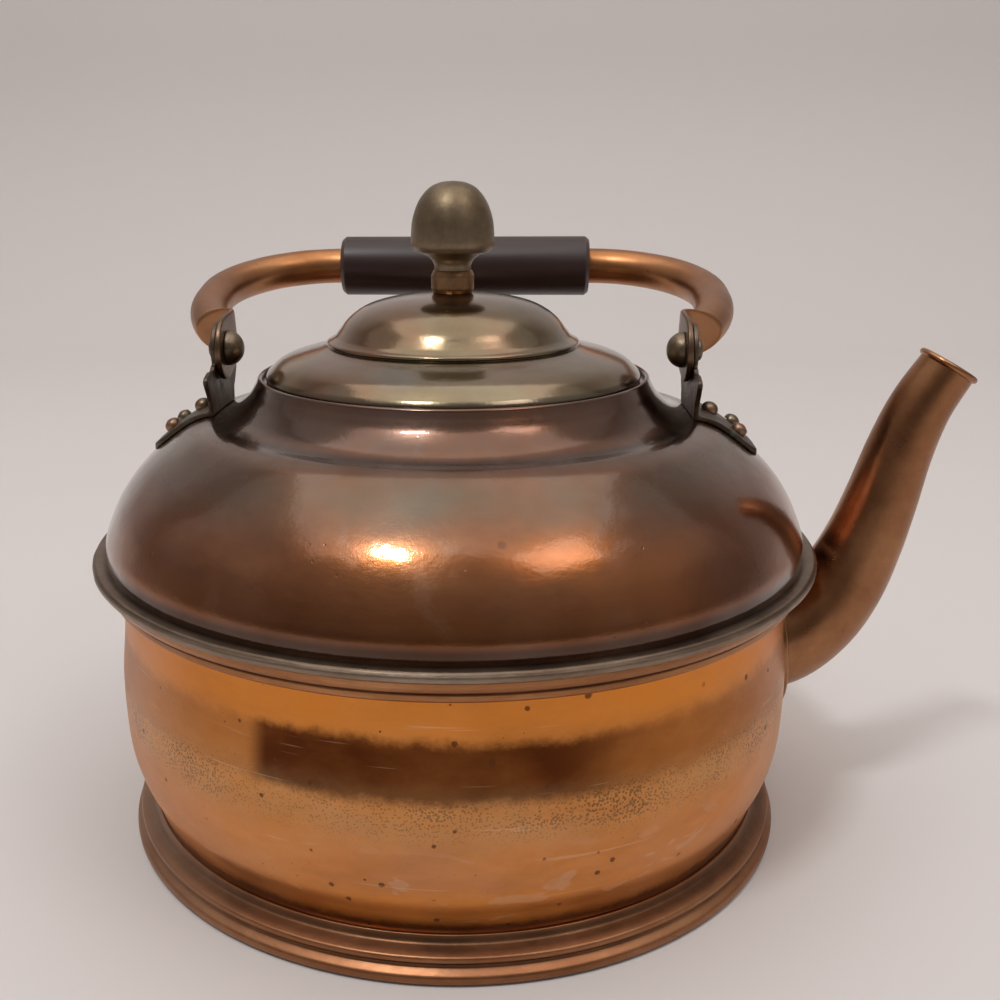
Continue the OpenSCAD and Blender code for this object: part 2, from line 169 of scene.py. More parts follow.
# ---------------------------------------------------------------- node material helper
class Mat:
    def __init__(self, name):
        self.m = bpy.data.materials.new(name)
        self.m.use_nodes = True
        self.t = self.m.node_tree
        self.t.nodes.clear()
        self.out = self.t.nodes.new("ShaderNodeOutputMaterial")
        self.b = self.t.nodes.new("ShaderNodeBsdfPrincipled")
        self.t.links.new(self.b.outputs[0], self.out.inputs[0])
        self.co = self.t.nodes.new("ShaderNodeTexCoord").outputs["Object"]

    def link(self, a, b):
        self.t.links.new(a, b)

    def put(self, sock, v):
        if isinstance(v, bpy.types.NodeSocket):
            self.link(v, sock)
        else:
            sock.default_value = v

    def math(self, op, a, b=0.0, clamp=False):
        n = self.t.nodes.new("ShaderNodeMath")
        n.operation = op
        n.use_clamp = clamp
        self.put(n.inputs[0], a)
        self.put(n.inputs[1], b)
        return n.outputs[0]

    def add(self, a, b, clamp=False):
        return self.math("ADD", a, b, clamp)

    def sub(self, a, b):
        return self.math("SUBTRACT", a, b)

    def mul(self, a, b):
        return self.math("MULTIPLY", a, b)

    def div(self, a, b):
        return self.math("DIVIDE", a, b)

    def most(self, a, b):
        return self.math("MAXIMUM", a, b)

    def scaled(self, v, offset=(0, 0, 0), rot=(0, 0, 0)):
        n = self.t.nodes.new("ShaderNodeMapping")
        self.link(self.co, n.inputs[0])
        n.inputs["Location"].default_value = offset
        n.inputs["Rotation"].default_value = rot
        n.inputs["Scale"].default_value = v
        return n.outputs[0]

    def noise(self, scale, detail=4, rough=0.55, vec=None, dist=0.0, seed=0.0):
        n = self.t.nodes.new("ShaderNodeTexNoise")
        n.noise_dimensions = "4D"
        n.inputs["W"].default_value = seed
        self.link(vec or self.co, n.inputs["Vector"])
        n.inputs["Scale"].default_value = scale
        n.inputs["Detail"].default_value = detail
        n.inputs["Roughness"].default_value = rough
        n.inputs["Distortion"].default_value = dist
        return n.outputs["Fac"]

    def voronoi(self, scale, vec=None):
        n = self.t.nodes.new("ShaderNodeTexVoronoi")
        self.link(vec or self.co, n.inputs["Vector"])
        n.inputs["Scale"].default_value = scale
        return n

    def ramp(self, fac, stops):
        n = self.t.nodes.new("ShaderNodeValToRGB")
        e = n.color_ramp.elements
        while len(e) < len(stops):
            e.new(0.5)
        for k, (p, c) in enumerate(stops):
            e[k].position = p
            e[k].color = (c, c, c, 1) if isinstance(c, (int, float)) else (*c, 1)
        self.put(n.inputs[0], fac)
        return n.outputs[0]

    def mix(self, fac, a, b):
        n = self.t.nodes.new("ShaderNodeMix")
        n.data_type = "RGBA"
        self.put(n.inputs[0], fac)
        for sock, v in ((n.inputs[6], a), (n.inputs[7], b)):
            self.put(sock, v if isinstance(v, bpy.types.NodeSocket) else (*v, 1))
        return n.outputs[2]

    def axis(self, which):
        n = self.t.nodes.new("ShaderNodeSeparateXYZ")
        self.link(self.co, n.inputs[0])
        return n.outputs["XYZ".index(which)]

    def band(self, v, lo, hi, soft):
        """1 between lo and hi (metres), fading over soft."""
        a = self.t.nodes.new("ShaderNodeMapRange")
        a.interpolation_type = "SMOOTHSTEP"
        self.put(a.inputs[0], v)
        a.inputs[1].default_value, a.inputs[2].default_value = lo - soft, lo + soft
        b = self.t.nodes.new("ShaderNodeMapRange")
        b.interpolation_type = "SMOOTHSTEP"
        self.put(b.inputs[0], v)
        b.inputs[1].default_value, b.inputs[2].default_value = hi + soft, hi - soft
        return self.mul(a.outputs[0], b.outputs[0])

    def bump(self, h, dist, strength=1.0):
        n = self.t.nodes.new("ShaderNodeBump")
        n.inputs["Strength"].default_value = strength
        n.inputs["Distance"].default_value = dist
        self.put(n.inputs["Height"], h)
        return n.outputs[0]

    def set(self, **kw):
        for k, v in kw.items():
            self.put(self.b.inputs[k.replace("_", " ")], v)


def metal(name, dark, mid, light, rough=(0.2, 0.36), seed=0.0, patch=22, bump=0.00004, shade_in_grooves=None,
          streak=(1, 1, 1), extra=None, speck=(0.05, 0.03, 0.02), speck_scale=420, speck_cut=0.16, coat=0.0):
    """Aged metal: cloudy tone, drawn streaks, small dark pits and fine scratches."""
    m = Mat(name)
    v = m.scaled(streak)
    cloud = m.noise(patch, 6, 0.6, v, 0.4, seed)
    fine = m.noise(patch * 9, 5, 0.65, v, 0.0, seed + 3)
    tone = m.add(m.mul(cloud, 0.75), m.mul(fine, 0.25))
    col = m.ramp(tone, [(0.32, dark), (0.5, mid), (0.68, light)])
    spots = m.voronoi(speck_scale)
    where = m.ramp(m.noise(55, 3, 0.5, seed=seed + 9), [(0.48, 0.0), (0.62, 1.0)])
    size = m.ramp(m.noise(140, 2, 0.5, seed=seed + 7), [(0.35, 0.25), (0.7, 1.0)])
    pit = m.mul(m.ramp(m.div(spots.outputs["Distance"], size),
                                    [(speck_cut * 0.5, 1.0), (speck_cut, 0.0)]), where)
    col = m.mix(m.mul(pit, 0.75), col, speck)
    r = m.ramp(m.noise(patch * 2.2, 5, 0.6, seed=seed + 5), [(0.3, rough[0]), (0.7, rough[1])])
    # painted shade in grooves and joints, mixed in with the pit colour
    if shade_in_grooves is not None:
        col = m.mix(shade_in_grooves(m), col, speck)
    if extra:
        col, r = extra(m, col, r)
    scratch = m.noise(900, 3, 0.7, m.scaled((1, 1, 0.06)), seed=seed + 1)
    h = m.sub(m.add(m.mul(fine, 0.5), m.mul(scratch, 0.12)),
               m.mul(pit, 0.25))
    nrm = m.bump(h, bump * 4)
    m.set(Base_Color=col, Roughness=r, Normal=nrm)
    m.b.inputs["Metallic"].default_value = 1.0
    if coat:
        # thin old lacquer, worn through in places
        m.set(Coat_Weight=m.ramp(m.noise(30, 4, 0.6, seed=seed + 13), [(0.35, coat * 0.4), (0.6, coat)]))
        m.b.inputs["Coat Roughness"].default_value = 0.07
        m.link(nrm, m.b.inputs["Coat Normal"])
    return m.m


# painted shade: darker bands at the given heights, in the grooves and joints where shade falls, made patchy
# by noise
def painted_groove_shade(zs, soft=0.0006, amount=0.75):
    def f(m):
        z = m.axis("Z")
        tot = None
        for lo, hi in zs:
            b = m.band(z, lo, hi, soft)
            tot = b if tot is None else m.most(tot, b)
        patchy = m.ramp(m.noise(60, 4), [(0.3, 0.55), (0.6, 1.0)])
        return m.mul(m.mul(tot, patchy), amount)
    return f


# ---------------------------------------------------------------- materials
def spots(m, scale, radius, keep, seed, soft=0.25):
    """Scattered dark spots of corrosion: one in a few cells, each with its own size and a ragged edge."""
    wob = m.noise(scale * 2.6, 3, 0.6, seed=seed + 1)
    v = m.voronoi(scale, m.scaled((1, 1, 1), (seed * 0.013, seed * 0.007, seed * 0.019)))
    rgb = m.t.nodes.new("ShaderNodeSeparateColor")
    m.link(v.outputs["Color"], rgb.inputs[0])
    size = m.mul(m.add(m.mul(rgb.outputs[1], 0.8), 0.35), radius)
    d = m.div(m.mul(v.outputs["Distance"], m.add(m.mul(wob, 1.2), 0.4)), size)
    body = m.ramp(d, [(1.0 - soft, 1.0), (1.0, 0.0)])
    return m.mul(body, m.math("LESS_THAN", rgb.outputs[0], keep))


def around(m, lo, hi, soft):
    """1 over a stretch of the turn, measured in degrees from -Y towards +X."""
    n = m.math("ARCTAN2", m.axis("X"), m.mul(m.axis("Y"), -1.0))
    return m.band(n, math.radians(lo), math.radians(hi), math.radians(soft))


def lower_extra(m, col, r):
    z = m.axis("Z")
    # heights used by the edges below wander a little, as tide marks do
    sway = m.mul(m.sub(m.noise(13, 3, 0.5, seed=21.0), 0.5), 0.006)
    fray = m.mul(m.sub(m.noise(150, 5, 0.7, seed=22.0), 0.5), 0.006)
    zz = m.add(m.add(z, sway), fray)
    # brighter orange strip under the belt: painted reflection of a bright band, broken up by wiping marks
    wipes = m.noise(26, 5, 0.6, m.scaled((1, 1, 3.2)), 0.6, 2.0)
    painted_reflection_strip = m.mul(m.band(z, 0.0680, 0.086, 0.003), m.ramp(wipes, [(0.34, 0.35), (0.6, 1.0)]))
    col = m.mix(m.mul(painted_reflection_strip, 0.88), col, (0.70, 0.24, 0.036))
    # brown band, partly tarnish and partly a painted reflection of a dark thing in front, strongest on the
    # front, with a sharp left end and a faded right one
    front = m.mul(around(m, -25.5, 120, 2.0), around(m, -170, 27, 12))
    front = m.add(m.mul(front, 0.64), 0.36)
    tarnish_and_dark_reflection = m.mul(m.band(zz, 0.0508, 0.0660, 0.0020), front)
    deep = m.ramp(m.noise(34, 5, 0.6, m.scaled((1, 1, 2)), 0.3, 23.0), [(0.3, 0.82), (0.6, 1.0)])
    tarnish_and_dark_reflection = m.mul(tarnish_and_dark_reflection, deep)
    col = m.mix(m.mul(tarnish_and_dark_reflection, 0.98), col, (0.088, 0.022, 0.006))
    # pepper of corrosion thinning out below the band
    fleck = m.voronoi(1300)
    thin = m.mul(m.band(zz, 0.0405, 0.0540, 0.005),
                 m.ramp(m.noise(48, 4, seed=8.0), [(0.38, 0.6), (0.58, 1.0)]))
    pep = m.mul(m.ramp(m.sub(fleck.outputs["Distance"], m.mul(thin, 0.42)),
                                    [(0.0, 1.0), (0.1, 0.0)]), thin)
    col = m.mix(m.mul(pep, 0.85), col, (0.13, 0.048, 0.016))
    # greenish-yellow haze in the same belt
    haze = m.mul(m.band(zz, 0.040, 0.052, 0.006), m.ramp(wipes, [(0.3, 0.2), (0.62, 0.8)]))
    col = m.mix(m.mul(haze, 0.5), col, (0.46, 0.33, 0.16))
    # dull pinkish oxide low on the wall and towards the sides
    pink = m.ramp(m.noise(13, 5, 0.6, seed=6.0), [(0.40, 0.0), (0.66, 1.0)])
    low = m.mul(m.band(z, 0.012, 0.046, 0.012), pink)
    side = m.sub(1.0, around(m, -48, 64, 16))
    low = m.most(low, m.mul(side, 0.6))
    col = m.mix(m.mul(low, 0.38), col, (0.60, 0.37, 0.26))
    # brighter orange where the foot's solder was wiped away
    base = m.mul(m.band(zz, 0.0135, 0.0260, 0.004),
                 m.ramp(m.noise(20, 4, 0.6, seed=24.0), [(0.36, 0.3), (0.6, 1.0)]))
    col = m.mix(m.mul(base, 0.7), col, (0.86, 0.33, 0.065))
    # painted shade in the corner above the foot ring
    corner_shade = m.band(zz, -1.0, 0.0142, 0.0012)
    col = m.mix(m.mul(corner_shade, 0.75), col, (0.20, 0.095, 0.052))
    # paler film with hard edges where something dried
    film = m.mul(m.ramp(m.noise(64, 3, 0.5, m.scaled((0.7, 0.7, 1.6)), 1.0, 31.0),
                        [(0.60, 0.0), (0.62, 1.0)]),
                  m.band(z, 0.014, 0.036, 0.005))
    col = m.mix(m.mul(film, 0.24), col, (0.78, 0.58, 0.42))
    # spots, fine ones all over and a few large
    s1 = m.mul(spots(m, 230, 0.2, 0.26, 3.0), m.ramp(m.noise(22, 3, seed=33.0), [(0.36, 0.0), (0.46, 1.0)]))
    s2 = spots(m, 90, 0.10, 0.22, 5.0, 0.35)
    s3 = spots(m, 36, 0.085, 0.22, 19.0, 0.3)
    s2 = m.most(s2, s3)
    s = m.most(s1, s2)
    col = m.mix(m.mul(s, 0.8), col, (0.12, 0.045, 0.018))
    # long scratches running round the wall
    sc = m.ramp(m.noise(210, 2, 0.6, m.scaled((0.1, 0.1, 3.0), rot=(0.05, 0.03, 0)), 0.2, 35.0),
                [(0.66, 0.0), (0.70, 1.0)])
    col = m.mix(m.mul(sc, 0.22), col, (0.86, 0.62, 0.40))
    r = m.add(r, m.mul(m.most(m.most(s, low), film), 0.12), True)
    return col, r


def dome_extra(m, col, r):
    z = m.axis("Z")
    # grey-green bloom over the upper dome, thin and cloudy, partly a painted sheen of the light from above
    cloud = m.ramp(m.noise(20, 6, 0.62, m.scaled((1, 1, 1.6)), 0.5, 12.0), [(0.36, 0.0), (0.64, 1.0)])
    up = m.mul(m.band(z, 0.113, 0.1255, 0.007), m.add(m.mul(cloud, 0.5), 0.35))
    col = m.mix(up, col, (0.120, 0.104, 0.076))
    # violet-brown bloom on the collar
    neck = m.mul(m.band(z, 0.1262, 0.137, 0.0012),
                 m.ramp(m.noise(30, 4, 0.6, seed=14.0), [(0.38, 0.45), (0.62, 0.95)]))
    col = m.mix(neck, col, (0.120, 0.068, 0.048))
    # redder copper shows through lower down
    low = m.mul(m.band(z, 0.088, 0.108, 0.008),
                m.ramp(m.noise(24, 4, 0.55, seed=15.0), [(0.4, 0.0), (0.68, 1.0)]))
    col = m.mix(m.mul(low, 0.75), col, (0.40, 0.145, 0.046))
    # bluish breath marks
    breath = m.ramp(m.noise(44, 5, 0.6, dist=0.8, seed=16.0), [(0.60, 0.0), (0.72, 1.0)])
    col = m.mix(m.mul(breath, 0.2), col, (0.20, 0.20, 0.18))
    s = m.most(spots(m, 150, 0.2, 0.10, 7.0, 0.5), spots(m, 60, 0.12, 0.08, 9.0, 0.6))
    s = m.mul(s, m.ramp(m.noise(18, 2, seed=17.0), [(0.45, 0.0), (0.55, 1.0)]))
    col = m.mix(m.mul(s, 0.5), col, (0.055, 0.028, 0.015))
    # painted shade in the crease above the belt and in the hollow under the collar
    crease_shade = m.most(m.band(z, 0.0850, 0.0912, 0.0016), m.band(z, 0.1243, 0.1252, 0.0006))
    col = m.mix(m.mul(crease_shade, 0.88), col, (0.045, 0.021, 0.011))
    r = m.add(r, m.mul(m.most(up, breath), 0.08), True)
    return col, r


def lid_extra(m, col, r):
    """Olive brass with faint rose, gold and blue heat tints."""
    a = m.noise(21, 5, 0.55, seed=41.0, dist=0.7)
    col = m.mix(m.ramp(a, [(0.48, 0.0), (0.60, 0.75)]), col, (0.235, 0.125, 0.070))
    b = m.noise(27, 5, 0.55, seed=43.0, dist=0.7)
    col = m.mix(m.ramp(b, [(0.54, 0.0), (0.68, 0.55)]), col, (0.21, 0.225, 0.215))
    c = m.noise(24, 5, 0.55, seed=45.0, dist=0.5)
    col = m.mix(m.ramp(c, [(0.56, 0.0), (0.7, 0.5)]), col, (0.40, 0.30, 0.10))
    z = m.axis("Z")
    # painted shade: thin dark lines in the groove under the bead and at the top of the rim
    ledge_shade = m.most(m.band(z, 0.1443, 0.1450, 0.0004), m.band(z, 0.1360, 0.1372, 0.0005))
    col = m.mix(m.mul(ledge_shade, 0.6), col, (0.05, 0.04, 0.025))
    s = spots(m, 260, 0.14, 0.06, 11.0, 0.4)
    col = m.mix(m.mul(s, 0.6), col, (0.05, 0.035, 0.02))
    return col, r


def foot_extra(m, col, r):
    # dull and pale towards the left of the front, where it was handled
    pale = m.mul(around(m, -115, -44, 22), m.ramp(m.noise(26, 4, 0.6, seed=61.0), [(0.35, 0.5), (0.6, 1.0)]))
    col = m.mix(m.mul(pale, 0.55), col, (0.50, 0.33, 0.235))
    return col, r


MATS = {}
MATS["bright_copper"] = metal("bright_copper", (0.47, 0.168, 0.038), (0.65, 0.25, 0.062), (0.73, 0.325, 0.11),
                              (0.25, 0.38), 1.0, 14, streak=(1, 1, 2.2), extra=lower_extra)
MATS["dark_copper"] = metal("dark_copper", (0.120, 0.036, 0.011), (0.200, 0.066, 0.020),
                            (0.285, 0.106, 0.036), (0.18, 0.27), 2.0, 13, streak=(1, 1, 2),
                            speck_scale=300, extra=dome_extra, coat=1.0)
MATS["foot_copper"] = metal("foot_copper", (0.220, 0.092, 0.042), (0.325, 0.145, 0.070), (0.43, 0.215, 0.108),
                            (0.34, 0.48), 3.0, 24, streak=(1, 1, 3),
                            shade_in_grooves=painted_groove_shade([(0.0042, 0.0057), (0.0078, 0.0104), (0.0, 0.0005)]),
                            extra=foot_extra)
MATS["base_copper"] = metal("base_copper", (0.10, 0.06, 0.04), (0.18, 0.10, 0.065), (0.30, 0.17, 0.10),
                            (0.38, 0.6), 4.0, 20)
MATS["tinned_belt"] = metal("tinned_belt", (0.165, 0.112, 0.076), (0.275, 0.205, 0.152), (0.38, 0.30, 0.235),
                            (0.34, 0.5), 5.0, 30, streak=(1, 1, 4),
                            shade_in_grooves=painted_groove_shade([(0.0863, 0.0868), (0.0840, 0.0844)], 0.0003))
MATS["band_copper"] = metal("band_copper", (0.24, 0.10, 0.042), (0.37, 0.165, 0.070), (0.50, 0.245, 0.115),
                            (0.26, 0.38), 6.0, 26, streak=(1, 1, 5),
                            shade_in_grooves=painted_groove_shade([(0.0796, 0.0803), (0.0772, 0.0777)], 0.0004))
MATS["spout_copper"] = metal("spout_copper", (0.22, 0.095, 0.045), (0.34, 0.16, 0.075), (0.46, 0.235, 0.12),
                             (0.22, 0.36), 7.0, 22)
MATS["lid_brass"] = metal("lid_brass", (0.130, 0.092, 0.050), (0.200, 0.150, 0.086), (0.265, 0.210, 0.128),
                          (0.16, 0.25), 8.0, 16, streak=(1, 1, 1.5), speck_scale=700, extra=lid_extra,
                          coat=0.8)
MATS["knob_brass"] = metal("knob_brass", (0.12, 0.085, 0.052), (0.195, 0.145, 0.092), (0.28, 0.215, 0.145),
                           (0.36, 0.48), 9.0, 60)
MATS["stem_brass"] = metal("stem_brass", (0.13, 0.068, 0.032), (0.22, 0.125, 0.062), (0.32, 0.20, 0.11),
                           (0.26, 0.4), 13.0, 70)


def verdigris(m, col, r):
    g = m.noise(210, 6, 0.62, dist=0.6, seed=3.3)
    green = m.ramp(g, [(0.56, 0.0), (0.68, 1.0)])
    col = m.mix(m.mul(green, 0.7), col, (0.16, 0.24, 0.19))
    r = m.add(r, m.mul(green, 0.25), True)
    return col, r


def bail_extra(m, col, r):
    """Brighter where a hand has rubbed it, browner near the ends."""
    x = m.axis("X")
    ends = m.sub(1.0, m.band(x, -0.066, 0.066, 0.012))
    col = m.mix(m.mul(ends, 0.25), col, (0.30, 0.20, 0.14))
    rub = m.mul(m.band(x, -0.074, 0.074, 0.008),
                m.ramp(m.noise(40, 5, 0.6, seed=51.0), [(0.42, 0.0), (0.62, 1.0)]))
    col = m.mix(m.mul(rub, 0.35), col, (0.50, 0.235, 0.10))
    s = spots(m, 240, 0.14, 0.12, 13.0, 0.4)
    col = m.mix(m.mul(s, 0.5), col, (0.08, 0.04, 0.02))
    # the flattened ends are as dark as the ears
    y, z = m.axis("Y"), m.sub(m.axis("Z"), PIVOT_Z * MM)
    d = m.math("SQRT", m.add(m.mul(y, y), m.mul(z, z)))
    d = m.add(d, m.mul(m.sub(m.noise(120, 4, seed=52.0), 0.5), 0.006))
    tab = m.band(d, -1.0, 0.0135, 0.0035)
    col = m.mix(m.mul(tab, 0.85), col, (0.13, 0.092, 0.066))
    return col, r


MATS["tarnished_brass"] = metal("tarnished_brass", (0.048, 0.036, 0.027), (0.098, 0.072, 0.053),
                                (0.19, 0.142, 0.107), (0.34, 0.52), 10.0, 60, extra=verdigris)
MATS["rivet_brass"] = metal("rivet_brass", (0.11, 0.082, 0.055), (0.20, 0.152, 0.104), (0.32, 0.25, 0.175),
                            (0.32, 0.46), 11.0, 130)
MATS["worn_rivet"] = metal("worn_rivet", (0.16, 0.092, 0.058), (0.28, 0.168, 0.11), (0.42, 0.27, 0.185),
                           (0.32, 0.46), 14.0, 130)
MATS["bail_copper"] = metal("bail_copper", (0.26, 0.108, 0.044), (0.385, 0.162, 0.064), (0.49, 0.225, 0.098),
                            (0.3, 0.42), 12.0, 26, extra=bail_extra)


def black_wood():
    m = Mat("black_wood")
    v = m.scaled((0.12, 1, 1))
    grain = m.noise(260, 6, 0.6, v, 0.3, 1.0)
    cloud = m.noise(30, 4, 0.5, m.scaled((0.5, 1, 1)), 0.2, 2.0)
    tone = m.add(m.mul(grain, 0.5), m.mul(cloud, 0.5))
    col = m.ramp(tone, [(0.3, (0.020, 0.0085, 0.0075)), (0.55, (0.038, 0.017, 0.015)),
                        (0.75, (0.066, 0.033, 0.029))])
    # paler rubbed rims at both ends
    rims = m.sub(1.0, m.band(m.axis("X"), -0.0432, 0.0432, 0.0006))
    col = m.mix(m.mul(rims, 0.5), col, (0.11, 0.075, 0.065))
    r = m.ramp(m.noise(70, 4, 0.6, v, 0, 4.0), [(0.3, 0.34), (0.7, 0.5)])
    m.set(Base_Color=col, Roughness=r, Normal=m.bump(grain, 0.00008, 0.6))
    m.b.inputs["IOR"].default_value = 1.5
    m.b.inputs["Coat Weight"].default_value = 0.06
    m.b.inputs["Coat Roughness"].default_value = 0.3
    return m.m


MATS["black_wood"] = black_wood()

# ---------------------------------------------------------------- body
wall = [Vector((94, 0)), Vector((94, 8))] + curve(
    [(94, 11), (96, 17), (98.6, 23), (100.6, 31), (101.3, 42), (101.2, 53), (99.9, 65), (99.3, 76)], 8)
wall += [Vector((99.3, 84.1))]
flange = [Vector((105, 84.1)), Vector((105, 85.3)), Vector((98.1, 85.3))]
lower_out = wall + flange + list(reversed(beside(wall[:-1], SHEET)))
lathe("lower_wall", lower_out, "kettle", ["lower_body"], MATS["bright_copper"], 320,
              dents(1, 34, 0.22))

foot = fillet([(94, 0), (99.6, 0, 0.8), (100.8, 1.0, 1.4), (100.8, 2.9, 1.6), (98.6, 4.3, 0.8),
               (98.4, 5.3, 0.6), (99.4, 6.0, 0.8), (99.3, 7.4, 1.0), (97.2, 8.2, 1.2), (95.4, 8.9, 1.5),
               (94.6, 10.8, 1), (94, 10.8)], 5)
lathe("foot_moulding", foot, "kettle", ["foot_ring"], MATS["foot_copper"], 320,
      dents(2, 26, 0.1))

band = fillet([(99.3, 77.4), (101.9, 77.4, 0.4), (102.75, 78.1, 0.9), (102.7, 79.5, 0.8), (102.3, 80.0, 0.5),
               (103.9, 80.7, 0.9), (104.6, 82.0, 1.0), (104.6, 83.4, 0.9), (103.8, 84.1, 0.5),
               (99.3, 84.1)], 5)
lathe("waist_roll", band, "kettle", ["waist_band"], MATS["band_copper"], 320,
      dents(3, 20, 0.12))

belt = fillet([(103.4, 86.5), (105.1, 86.5), (105.1, 84.1), (106.2, 84.1, 0.8), (107.4, 84.5, 1.0),
               (107.5, 85.8, 1.2), (106.7, 86.9, 1.2), (104.6, 86.85, 0.6), (103.4, 86.7)], 6)
lathe("belt_bead", belt, "kettle", ["belt_ring"], MATS["tinned_belt"], 360, dents(4, 9, 0.28))

shoulder = curve([(103.4, 87.4), (103.4, 89.6), (102.5, 94), (98, 103.5), (91, 112), (80, 120.9), (74, 123.9),
                  (69, 124.8), (64.4, 126.8), (60.6, 130.3), (58.7, 133.2), (57.6, 135.4)], 8)
lip = [Vector((57.0 + 0.75 * math.cos(a), 135.3 + 0.75 * math.sin(a))) for a in
       [math.radians(d) for d in range(10, 181, 17)]]
skirt = [Vector((102.2, 85.3)), Vector((105, 85.3)), Vector((105, 86.5)), Vector((103.4, 86.5))]
up_out = skirt + shoulder + lip + list(reversed(beside(shoulder, SHEET)))[1:]
lathe("dome_and_neck", up_out, "kettle", ["upper_body"], MATS["dark_copper"], 360,
      dents(5, 30, 0.2))

seat = fillet([(51.4, 125.6, 0.3), (52.4, 125.6, 0.3), (52.4, 133.6, 0.4), (57.2, 133.6), (56.9, 134.6),
               (51.4, 134.6, 0.5)], 4)
lathe("seat_ring", seat, "kettle", ["lid_seat"], MATS["dark_copper"], 192)

# ---------------------------------------------------------------- lid
lid_low = curve([(54.4, 137.3), (51.6, 139.8), (48.5, 141.3), (44, 142.6), (40, 143.6), (38.1, 144.2)], 8)
step = [Vector(p) for p in ((37.4, 144.42), (36.95, 144.55), (36.92, 144.7), (37.1, 144.9), (37.2, 145.2),
                            (37.15, 145.5), (36.95, 145.78), (36.6, 146.0), (36.1, 146.2), (35.6, 146.5))]
lid_up = curve([(35.2, 146.8), (34.6, 147.3), (33.2, 149), (31.2, 151.5), (28.2, 154), (24.2, 156.1),
                (19, 157.6), (13, 158.6), (6, 159.1)], 7)
lid_line = lid_low + step + lid_up
rim = [Vector((54.05 + 1.12 * math.cos(a), 135.8 + 1.12 * math.sin(a))) for a in
       [math.radians(d) for d in range(-190, 61, 18)]]
screw_hole = [Vector((2.2, 159.1)), Vector((2.2, 158.1))]
lid_out = rim + lid_line + screw_hole + list(reversed(beside(lid_line, LID_SHEET)))[1:]
lathe("lid_dome", lid_out, "lid", ["lid_shell"], MATS["lid_brass"], 320, dents(6, 24, 0.07))

knob = curve([(5.35, 165.7), (5.5, 167.3), (6.4, 168.9), (8.6, 170.3), (10.6, 170.9)], 6) + curve(
    [(11.3, 171.2), (12.0, 172.7), (12.1, 175.1), (11.6, 180.1), (9.9, 184.9), (7.1, 188.5), (3.8, 190.2),
     (0, 190.7)], 8)
lathe("knob_head", [Vector((0, 165.7))] + knob, "lid", ["knob"], MATS["knob_brass"], 160,
      dents(7, 9, 0.1))
collar = fillet([(2.1, 159.15), (5.6, 159.15, 0.3), (6.25, 160.4, 1.4), (6.3, 164.2, 1.4), (5.6, 165.7, 0.3),
                 (2.1, 165.7)], 6)
lathe("knob_barrel", collar, "lid", ["knob_collar"], MATS["stem_brass"], 96)

# ---------------------------------------------------------------- bail
bail_turn = Matrix.Translation((0, 0, PIVOT_Z * MM)) @ Matrix.Rotation(-FOLD, 4, "X")


def bail_path():
    """Stations from the grip's middle to the tab's end.

    Each is (centre x, centre z, lean in degrees, half thickness, half width, squareness).
    """
    st = []
    bend_z = BAIL_H - BEND_R
    leg_x = GRIP_HALF + BEND_R
    half_t = TAB_T / 2
    tab_mid = EAR_X - TAB_GAP - half_t
    leg_lean = math.radians(LEG_DEG)
    for k in range(9):
        st.append((GRIP_HALF * k / 8, BAIL_H, 90.0, TUBE_R, TUBE_R, 2.0))
    for k in range(1, 33):
        a = math.radians(90 * k / 32)
        x = GRIP_HALF + BEND_R * math.sin(a)
        st.append((x, bend_z + BEND_R * math.cos(a), 90 - 90 * k / 32, TUBE_R, TUBE_R, 2.0))
    for k in range(1, 4):
        st.append((leg_x, bend_z - (bend_z - LEG_TOP) * k / 3, 0.0, TUBE_R, TUBE_R, 2.0))
    for k in range(1, 17):
        a = leg_lean * k / 16
        x = leg_x - LEG_R * (1 - math.cos(a))
        st.append((x, LEG_TOP - LEG_R * math.sin(a), -LEG_DEG * k / 16, TUBE_R, TUBE_R, 2.0))
    x0, z0 = st[-1][0], st[-1][1]
    inner0 = x0 - TUBE_R * math.cos(leg_lean)
    for k in range(1, 15):
        # round tube flattens into the tab, its inner face running straight to the ear
        u = k / 14
        s = u * u * (3 - 2 * u)
        thick = TUBE_R * (1 - s) + half_t * s
        inner = inner0 * (1 - u) + (tab_mid - half_t) * u
        x = inner + thick * math.cos(leg_lean * (1 - s))
        wide = TUBE_R + (TAB_NECK - TUBE_R) * min(1, s * 1.15)
        st.append((x, z0 + (TAB_TOP - z0) * u, -LEG_DEG * (1 - s), thick, wide, 2.0 + 4 * s))
    for k in range(1, 6):
        wide = TAB_NECK + (TAB_R - TAB_NECK) * min(1, k / 4)
        st.append((tab_mid, TAB_TOP * (1 - k / 5), 0.0, half_t, wide, 6.0))
    for k in range(1, 15):
        a = math.radians(88 * k / 14)
        st.append((tab_mid, -TAB_R * math.sin(a), 0.0, half_t, max(TAB_R * math.cos(a), 0.3), 6.0))
    return st


